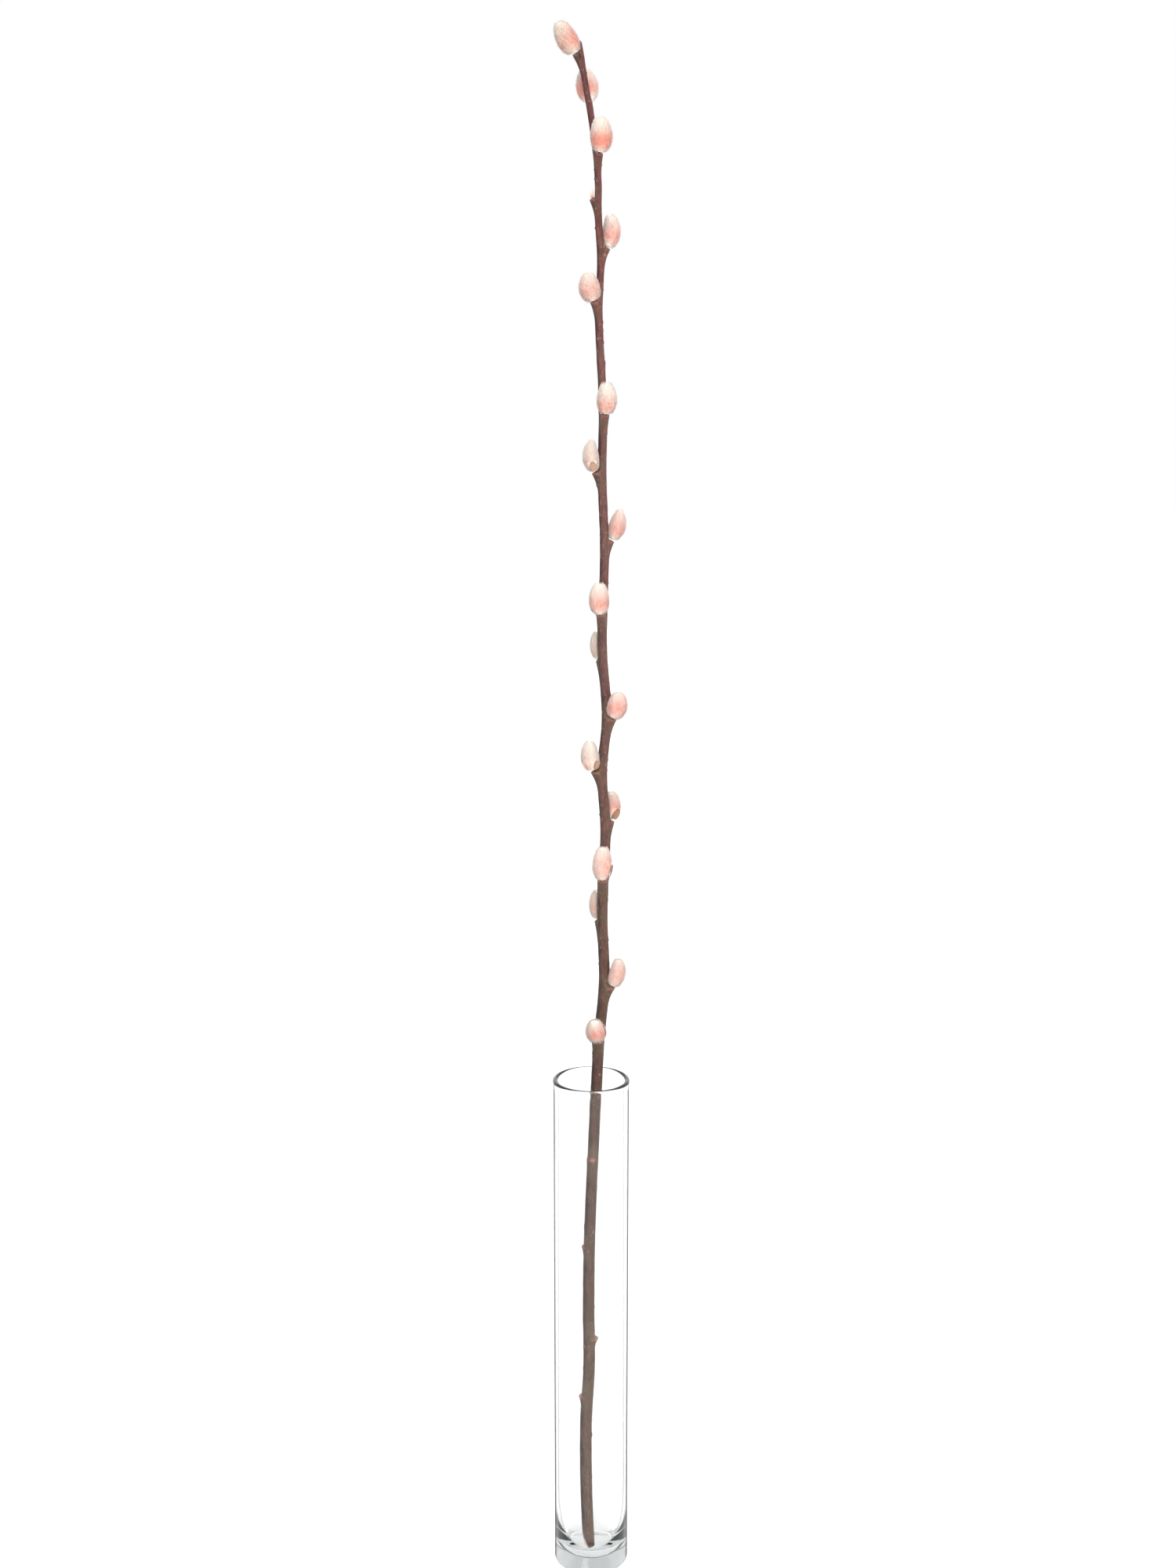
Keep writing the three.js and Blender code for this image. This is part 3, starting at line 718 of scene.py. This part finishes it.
def lay_hairs(number, bud, look, draw):
    """Roots, middles and ends of a catkin's hairs, with where each grows."""
    half = bud["width"] / 2 - FUR_DEPTH
    t = draw.uniform(0, 1, HAIRS * 3)
    keep = draw.uniform(0, 1, t.size) < (0.25 + 0.75 * fullness(bud, t))
    t = EGG_FROM + (EGG_TO - EGG_FROM) * t[keep][: int(HAIRS * SPARE_HAIRS)]
    angle = draw.uniform(-np.pi, np.pi, t.size)
    bare = under_scale(number, t, angle, BARE_MARGIN)
    t, angle = t[~bare], angle[~bare]
    root = on_bud(bud, t, angle, half)
    step = 0.01
    upward = unit(on_bud(bud, t + step, angle, half) - on_bud(bud, t - step, angle, half))
    round_it = on_bud(bud, t, angle + step, half) - on_bud(bud, t, angle - step, half)
    round_it /= np.linalg.norm(round_it, axis=-1, keepdims=True) + 1e-9
    normal = unit(np.cross(round_it, upward))
    # Neighbouring hairs lean together into tufts, one for each tiny flower
    clump_t = (np.arange(CLUMPS) + 0.5) / CLUMPS
    clump_angle = np.arange(CLUMPS) * GOLDEN_ANGLE
    around = (angle[:, None] - clump_angle[None] + np.pi) % (2 * np.pi) - np.pi
    gap = np.hypot((t[:, None] - clump_t[None]) * bud["length"], around * half)
    tuft = gap.argmin(axis=1)
    shift_t = clump_t[tuft] + TUFT_AHEAD - t
    shift_a = around[np.arange(t.size), tuft]
    length = draw.normal(HAIR_LENGTH, LENGTH_VARIES, t.size) * (1 - 0.3 * t**4)
    lift = np.radians(draw.normal(HAIR_LIFT, LIFT_VARIES, t.size))
    stray = draw.uniform(0, 1, t.size) < STRAYS
    lift = np.where(stray, lift + STRAY_LIFT, lift)
    way = normal * np.sin(lift)[:, None] + upward * np.cos(lift)[:, None]
    way += round_it * (-SIDE_PULL * shift_a * half + draw.normal(0, 0.08, t.size))[:, None]
    way += upward * (UP_PULL * shift_t)[:, None]
    way = unit(way)
    middle = root + (way + normal * HAIR_CURVE) * (0.5 * length)[:, None]
    end = root + way * length[:, None]
    return root, middle, end, way, normal, t, angle, tuft


def clear_of_stem(points):
    """True where a point stands clear of the bark."""
    away = points - centre(points[:, 2])
    turn = np.arctan2(away[:, 1], away[:, 0])
    free = points[:, 2] > STEM_TIP + 1
    return free | (np.hypot(away[:, 0], away[:, 1]) > stem_radius(points[:, 2], turn) + HAIR_CLEARANCE)


# %% Build the hair as a mesh
def hair_mesh(number, bud, look, draw):
    laid = lay_hairs(number, bud, look, draw)
    free = clear_of_stem(laid[2]) & clear_of_stem(laid[1])
    root, middle, end, way, normal, t, angle, tuft = (values[free][:HAIRS] for values in laid)
    count = t.size
    thick = draw.uniform(THINNEST, THICKEST, count)
    side = unit(np.cross(way, draw.normal(0, 1, (count, 3))))
    other = np.cross(way, side)
    s = HAIR_POINTS[:, 2][None, :, None]
    spine = ((1 - s) ** 2 * root[:, None] + 2 * s * (1 - s) * (2 * middle - (root + end) / 2)[:, None]
             + s**2 * end[:, None])
    wide = thick[:, None, None]
    spots = (spine + side[:, None] * HAIR_POINTS[None, :, 0:1] * wide
             + other[:, None] * HAIR_POINTS[None, :, 1:2] * wide)
    per = len(HAIR_POINTS)
    faces = [[v + per * i for v in face] for i in range(count) for face in HAIR_FACES]
    mesh = bpy.data.meshes.new("hair")
    mesh.from_pydata((spots.reshape(-1, 3) * MM).tolist(), [], faces)
    hair = bpy.data.objects.new("hair", mesh)
    bpy.context.collection.objects.link(hair)
    mottle = draw.uniform(0, 1, CLUMPS)[tuft] * 0.7 + draw.uniform(0, 1, count) * 0.3
    pink = blush_at(look, bud, t + 0.08, angle, mottle)
    paint_values(hair, pink=np.repeat(pink, per), along=np.repeat(t, per),
                 tip=np.tile(HAIR_POINTS[:, 2], count),
                 grey=np.repeat(look["grey"] * (0.6 + 0.8 * mottle), per))
    soft = unit(normal + 0.3 * way + draw.normal(0, 0.12, normal.shape))
    return hair, np.repeat(soft, per, axis=0)


# %% The felted egg under the hair
def egg_mesh(bud, look):
    deselect()
    bpy.ops.mesh.primitive_uv_sphere_add(segments=32, ring_count=20, radius=1)
    egg = bpy.context.active_object
    ball = points_of(egg)
    t = EGG_FROM + (EGG_TO - EGG_FROM) * (ball[:, 2] + 1) / 2
    angle = np.arctan2(ball[:, 1], ball[:, 0])
    pole = np.hypot(ball[:, 0], ball[:, 1]) < 1e-4
    skin = on_bud(bud, t, angle, bud["width"] / 2 - FUR_DEPTH)
    ends = np.array([along_bud(bud, value)[0] for value in np.where(t > 0.5, EGG_END, 0.0)])
    move_points(egg, np.where(pole[:, None], ends, skin) * MM)
    face_outwards(egg)
    pink = blush_at(look, bud, t, angle, np.full(t.shape, 0.4))
    paint_values(egg, pink=pink, along=t, tip=np.zeros_like(t), grey=np.full(t.shape, look["grey"]))
    return egg


# %% [markdown]
# Silk hair of a pink willow: clear, smooth fibres of cellulose with the pink only in the flower
# scales and hair roots, so colour fades to white at the ends. Massed, they scatter light like felt,
# with a soft sheen at the edge of the form. The felt below uses the same colours, a little deeper.

# %% Silk hair and felt materials
SALMON, DEEP_SALMON = "#F49B82", "#E67E66"
CREAM, GREY_CREAM = "#F8EADE", "#DED2C0"
WHITE_SILK = "#FFFAF6"


def silk_colour(tree, place, whiter):
    """The colour of the silk from the values stored on the hairs, paler towards their ends."""
    pink, along, tip, grey = (add(tree, "Attribute", attribute_name=name).outputs["Fac"]
                              for name in ("pink", "along", "tip", "grey"))
    flecks = add(tree, "TexNoise", {"Vector": place, "Scale": 700.0, "Detail": 2.0})
    deeper = add(tree, "MapRange", {"Value": flecks, "From Min": 0.42, "From Max": 0.64})
    salmon = add(tree, "Mix", {0: deeper, 6: colour(SALMON), 7: colour(DEEP_SALMON)}, data_type="RGBA")
    top = add(tree, "Mix", {0: grey, 6: colour(CREAM), 7: colour(GREY_CREAM)}, data_type="RGBA")
    silk = add(tree, "Mix", {0: pink, 6: top.outputs[2], 7: salmon.outputs[2]}, data_type="RGBA")
    skirt = add(tree, "MapRange", {"Value": along, "From Min": 0.08, "From Max": 0.02})
    ends = add(tree, "Math", {0: tip, 1: whiter}, operation="MULTIPLY")
    white = add(tree, "Math", {0: skirt, 1: ends}, operation="MAXIMUM")
    return add(tree, "Mix", {
        0: white, 6: silk.outputs[2], 7: colour(WHITE_SILK)}, data_type="RGBA").outputs[2]


silk_hair, tree, place = new_material("willow_silk_hair")
silk = silk_colour(tree, place, 0.5)
hair_skin = add(tree, "BsdfPrincipled", {
    "Base Color": silk, "Roughness": 0.6, "IOR": 1.4, "Sheen Weight": 0.6, "Sheen Roughness": 0.5})
lit_from_behind = add(tree, "BsdfTranslucent", {"Color": silk})
silk_body = add(tree, "MixShader", {0: 0.35, 1: hair_skin, 2: lit_from_behind})
ray = add(tree, "LightPath")
light_through = add(tree, "Math", {
    0: ray.outputs["Is Shadow Ray"], 1: ray.outputs["Is Diffuse Ray"]}, operation="MAXIMUM")
thinned = add(tree, "Math", {0: light_through, 1: 0.88}, operation="MULTIPLY")
clear_hair = add(tree, "BsdfTransparent", {"Color": colour("#FFFFFF")})
lit_hair = add(tree, "MixShader", {0: thinned, 1: silk_body, 2: clear_hair})
add(tree, "OutputMaterial", {"Surface": lit_hair})

silk_felt, tree, place = new_material("willow_silk_felt")
nap = add(tree, "TexNoise", {"Vector": place, "Scale": 1800.0, "Detail": 2.0})
nap_bump = add(tree, "Bump", {"Strength": 0.6, "Distance": 0.0003, "Height": nap})
felt_skin = add(tree, "BsdfPrincipled", {
    "Base Color": silk_colour(tree, place, 0.0), "Roughness": 0.9, "Normal": nap_bump})
add(tree, "OutputMaterial", {"Surface": felt_skin})

# %% Grow every catkin
total = 0
for number, bud in enumerate(grown, start=1):
    if bud.get("closed"):
        continue
    look = dict(zip(LOOK_NAMES, LOOKS[number]))
    draw = np.random.default_rng(500 + number)
    egg = egg_mesh(bud, look)
    egg.data.materials.append(silk_felt)
    hair, hair_facing = hair_mesh(number, bud, look, draw)
    hair.data.materials.append(silk_hair)
    egg_facing = np.array([point.normal for point in egg.data.vertices])
    choose(hair, egg)
    bpy.ops.object.join()
    bpy.ops.object.shade_smooth()
    # Silk is so fine that it shades as one soft body: each hair borrows the egg's own direction
    egg.data.normals_split_custom_set_from_vertices(np.vstack([egg_facing, hair_facing]).tolist())
    settle(egg, f"catkin_{number:02d}_silk", f"catkin_{number:02d}")
    total += len(egg.data.polygons)
print("all catkins:", total, "faces")

# %% [markdown]
# ## Bud scales and the closed bud
# A willow bud is wrapped in one cap-like scale, which splits and drops as the catkin swells. A few
# still cling here: thin, dry, cupped shells, shiny brown outside. Each starts as a flat grid that is
# laid on its catkin by formula, is given a wall by Solidify, and is rounded by a subdivision.

# %% Dry bud scale material
scale_skin, tree, place = new_material("dry_willow_bud_scale")
long_grain = add(tree, "Mapping", {"Vector": place, "Scale": (1, 1, 0.2)})
veins = add(tree, "TexNoise", {"Vector": long_grain, "Scale": 1500.0, "Detail": 3.0})
brown = add(tree, "ValToRGB", {
    "Fac": veins}, stops=[(0.3, "#64462F"), (0.5, "#84603F"), (0.72, "#A27C55")])
bleached = add(tree, "Attribute", attribute_name="pale").outputs["Fac"]
straw = add(tree, "Mix", {0: bleached, 6: brown, 7: colour("#E3B8A2")}, data_type="RGBA")
rim = add(tree, "Attribute", attribute_name="rim").outputs["Fac"]
rimmed = add(tree, "Mix", {0: rim, 6: straw.outputs[2], 7: colour("#744434")}, data_type="RGBA")
dry_bump = add(tree, "Bump", {"Strength": 0.5, "Distance": 0.0001, "Height": veins})
dry = add(tree, "BsdfPrincipled", {
    "Base Color": rimmed.outputs[2], "Roughness": 0.38, "IOR": 1.45, "Normal": dry_bump})
add(tree, "OutputMaterial", {"Surface": dry})

# %% Lay the scales
SCALE_GAP, SCALE_WALL = 0.6, 0.42
NARROWING, NARROW_CURVE = 0.8, 2.2
SIDE_CURL, TIP_CURL = 0.25, 0.2  # how far its dry edges lift
RIM_SHARPNESS = 9  # more makes the dark rim narrower
for name, scale in SCALES.items():
    bud = grown[scale["bud"] - 1]
    deselect()
    bpy.ops.mesh.primitive_grid_add(x_subdivisions=10, y_subdivisions=14, size=2)
    husk = bpy.context.active_object
    flat = points_of(husk)
    share = (flat[:, 1] + 1) / 2
    t = scale["low"] + (scale["high"] - scale["low"]) * share
    half_angle = math.radians(scale["spread"]) * (1 - NARROWING * share**NARROW_CURVE)
    angle = math.radians(scale["side"]) + half_angle * flat[:, 0]
    curl = SIDE_CURL * np.abs(flat[:, 0]) ** 3 + TIP_CURL * share**4
    skin = on_bud(bud, t, angle, bud["width"] / 2 - TUFT_OUT / 2, SCALE_GAP + curl)
    move_points(husk, skin * MM)
    rim_shape = np.clip(np.maximum(share, np.abs(flat[:, 0])) ** RIM_SHARPNESS, 0, 1)
    paint_values(husk, rim=rim_shape * (1 - scale["pale"] ** 2),
                 pale=np.full(share.shape, scale["pale"]))
    face_outwards(husk)
    middle = points_of(husk).mean(axis=0) - along_bud(bud, 0.3)[0] * MM
    facing = np.array([face.normal for face in husk.data.polygons]).mean(axis=0) @ middle
    wall = husk.modifiers.new("wall", "SOLIDIFY")
    wall.thickness = SCALE_WALL * MM
    wall.offset = 1 if facing > 0 else -1
    smooth = husk.modifiers.new("round", "SUBSURF")
    smooth.levels = smooth.render_levels = 1
    bpy.ops.object.modifier_apply(modifier="wall")
    bpy.ops.object.modifier_apply(modifier="round")
    face_outwards(husk)
    bpy.ops.object.shade_smooth()
    settle(husk, name + "_husk", name, scale_skin)
    print(name, len(husk.data.polygons), "faces")

# %% [markdown]
# The bud that never opened is a slim pale spindle pressed to the stem. It is a ball drawn out along
# its own short curve, with its skin a lighter tan than the old scales and pinker at its foot.

# %% The closed bud
CLOSED = 15
CLOSED_FULLNESS, SEAM_RISE, CLOSED_SINK = 1.1, 0.12, 0.5
young_skin, tree, place = new_material("closed_willow_bud_skin")
along = add(tree, "Attribute", attribute_name="along").outputs["Fac"]
bud_colour = add(tree, "ValToRGB", {
    "Fac": along}, stops=[(0.0, "#D68C7C"), (0.3, "#EFC0AE"), (0.7, "#F6E0D2"), (1.0, "#F4DDCF")])
fine = add(tree, "TexNoise", {"Vector": place, "Scale": 2400.0})
fine_bump = add(tree, "Bump", {"Strength": 0.3, "Distance": 0.0001, "Height": fine})
bud_shader = add(tree, "BsdfPrincipled", {
    "Base Color": bud_colour, "Roughness": 0.45, "Normal": fine_bump})
add(tree, "OutputMaterial", {"Surface": bud_shader})

deselect()
bpy.ops.mesh.primitive_uv_sphere_add(segments=24, ring_count=20, radius=1)
closed = bpy.context.active_object
ball = points_of(closed)
t = (ball[:, 2] + 1) / 2
bud = grown[CLOSED - 1]
angle = np.arctan2(ball[:, 1], ball[:, 0])
seam = 1 + SEAM_RISE * np.sin(angle) ** 8 * np.sin(np.pi * t)
skin = on_bud(bud, t, angle, (bud["width"] - TUFT_OUT) / 2 * CLOSED_FULLNESS)
skin = along_bud(bud, t)[0] + (skin - along_bud(bud, t)[0]) * seam[:, None]
skin[:, 2] -= CLOSED_SINK
move_points(closed, skin * MM)
paint_values(closed, along=t)
face_outwards(closed)
bpy.ops.object.shade_smooth()
settle(closed, "closed_bud_15_skin", "closed_bud_15", young_skin)

# %% [markdown]
# ## The vase
# A blown cylinder of clear soda glass: one even wall, a heavy floor that closes in a bowl, a round
# heel and a lip that was melted smooth. It could be a spun profile. Here it starts as a cylinder
# and is shaped as by hand, because that shows each feature: the top is inset and pushed down to
# make the wall, steps of extrude and shrink make the bowl, and bevels round the heel and lip.

# %% Wall and bowl
VASE_RADIUS, VASE_HEIGHT, WALL = 25.0, 350.0, 2.8
BOWL_TOP, FLOOR_THICKNESS, BOWL_FULLNESS = 60.0, 7.0, 3.4
LIP_OUT, LIP_HEIGHT, HEEL_ROUND = 0.6, 6.0, 2.0
LIP_ROUND = 1.62  # a little under half of what the top is thick, so it is all but fully round
GLASS_SIDES, BOWL_STEPS = 128, 14
deselect()
bpy.ops.mesh.primitive_cylinder_add(vertices=GLASS_SIDES, radius=VASE_RADIUS * MM, depth=VASE_HEIGHT * MM,
                                    location=(0, 0, VASE_HEIGHT / 2 * MM))
vase = bpy.context.active_object
bpy.ops.object.transform_apply(location=True)
bpy.ops.object.mode_set(mode="EDIT")
bpy.ops.mesh.select_mode(type="VERT")
bpy.ops.mesh.bisect(plane_co=(0, 0, (VASE_HEIGHT - LIP_HEIGHT) * MM), plane_no=(0, 0, 1))


def is_top(face):
    """True for the flat face that closes the cylinder's top."""
    return all(point.co.z > (VASE_HEIGHT - 0.1) * MM for point in face.verts)


def is_ring(edge, at, least_radius=0.0):
    """True for an edge that runs round the glass at a height."""
    radii = [math.hypot(point.co.x, point.co.y) / MM for point in edge.verts]
    level = all(abs(point.co.z / MM - at) <= 0.1 for point in edge.verts)
    return level and abs(radii[0] - radii[1]) < 0.01 and min(radii) > least_radius


def widen(ratio, height):
    """Scales what is selected outwards, or inwards, from the axis."""
    bpy.ops.transform.resize(value=(ratio, ratio, 1), center_override=(0, 0, height * MM))


def extrude(up):
    bpy.ops.mesh.extrude_region_move(TRANSFORM_OT_translate={"value": (0, 0, up * MM)})


lip_radius, inside = VASE_RADIUS + LIP_OUT, VASE_RADIUS - WALL
select_where(vase, "FACE", is_top)
widen(lip_radius / VASE_RADIUS, VASE_HEIGHT)
bpy.ops.mesh.extrude_region_move()
widen(inside / lip_radius, VASE_HEIGHT)
extrude(BOWL_TOP - VASE_HEIGHT)
was_radius, was_height = inside, BOWL_TOP
for step in range(1, BOWL_STEPS):
    a = step / BOWL_STEPS * math.pi / 2
    radius = inside * math.cos(a) ** (2 / BOWL_FULLNESS)
    height = BOWL_TOP - (BOWL_TOP - FLOOR_THICKNESS) * math.sin(a) ** (2 / BOWL_FULLNESS)
    extrude(height - was_height)
    widen(radius / was_radius, height)
    was_radius, was_height = radius, height
extrude(FLOOR_THICKNESS - was_height)
bpy.ops.mesh.merge(type="CENTER")
print("vase walled, floor", FLOOR_THICKNESS, "mm thick")

# %% Round heel and lip
select_where(vase, "EDGE", lambda edge: is_ring(edge, 0, 20))
bpy.ops.mesh.bevel(offset=HEEL_ROUND * MM, segments=8, affect="EDGES")
select_where(vase, "EDGE", lambda edge: is_ring(edge, VASE_HEIGHT))
bpy.ops.mesh.bevel(offset=LIP_ROUND * MM, segments=6, affect="EDGES")
bpy.ops.mesh.select_all(action="SELECT")
bpy.ops.mesh.remove_doubles(threshold=0.00001)
bpy.ops.mesh.normals_make_consistent(inside=False)
bpy.ops.object.mode_set(mode="OBJECT")
face_outwards(vase)
print("vase box", points_of(vase).min(0).round(4), points_of(vase).max(0).round(4))

# %% [markdown]
# Clear soda-lime glass, fire-polished: colourless, IOR 1.52, with barely any surface roughness. Hand
# working leaves very soft waves, 20 to 40 mm long, that make the edge lines waver. Where a wall is
# seen lengthways, the glass is painted grey, which draws a painted dark line down each side. The
# lip is left out of that, because it shines there. Light that comes to the stem from lamps and white
# walls passes straight through, and so does light that has bounced about in the glass for long,
# which Blender's path tracing would otherwise resolve only with much noise.

# %% Clear glass material
clear_glass, tree, place = new_material("clear_soda_glass_fire_polished")
long_waves = add(tree, "Mapping", {"Vector": place, "Scale": (1, 1, 0.45)})
waves = add(tree, "TexNoise", {"Vector": long_waves, "Scale": 42.0, "Detail": 1.0})
wave_bump = add(tree, "Bump", {"Strength": 0.12, "Distance": 0.0012, "Height": waves})
facing = add(tree, "LayerWeight", {"Blend": 0.5}).outputs["Facing"]
up = add(tree, "SeparateXYZ", {0: place}).outputs["Z"]
below_lip = add(tree, "MapRange", {
    "Value": up, "From Min": VASE_HEIGHT * MM, "From Max": (VASE_HEIGHT - LIP_HEIGHT) * MM})
along_wall = add(tree, "Math", {0: facing, 1: below_lip}, operation="MULTIPLY")
# Painted shade: below the lip, the glass is painted greyer the more edge-on its wall is seen
painted_edge_grey = add(tree, "ValToRGB", {
    "Fac": along_wall}, stops=[(0.6, "#FFFFFF"), (0.74, "#D0D0D0"), (0.86, "#A8A8A8"), (1.0, "#9A9A9A")])
glass = add(tree, "BsdfPrincipled", {
    "Base Color": painted_edge_grey, "Roughness": 0.01, "IOR": 1.52, "Transmission Weight": 1.0,
    "Normal": wave_bump})
# Painted shade: right at the edge the glass turns into a grey see-through shader, a painted dark line
end_on = add(tree, "MapRange", {"Value": along_wall, "From Min": 0.76, "From Max": 0.86})
painted_edge_line = add(tree, "BsdfTransparent", {"Color": colour("#B0B2B2")})
edged = add(tree, "MixShader", {0: end_on, 1: glass, 2: painted_edge_line})
straight = add(tree, "BsdfTransparent", {"Color": colour("#FFFFFF")})
ray = add(tree, "LightPath")
caught = add(tree, "Math", {0: ray.outputs["Ray Depth"], 1: 6.5}, operation="GREATER_THAN")
soft_ray = add(tree, "Math", {
    0: ray.outputs["Is Shadow Ray"], 1: ray.outputs["Is Diffuse Ray"]}, operation="MAXIMUM")
lets_through = add(tree, "Math", {0: soft_ray, 1: caught}, operation="MAXIMUM")
both = add(tree, "MixShader", {0: lets_through, 1: edged, 2: straight})
depth_grey = add(tree, "VolumeAbsorption", {"Color": colour("#E4E6E6"), "Density": 42.0})
add(tree, "OutputMaterial", {"Surface": both, "Volume": depth_grey})

choose(vase)
bpy.ops.object.shade_smooth_by_angle(angle=math.radians(35))
settle(vase, "vase_glass", "vase", clear_glass)
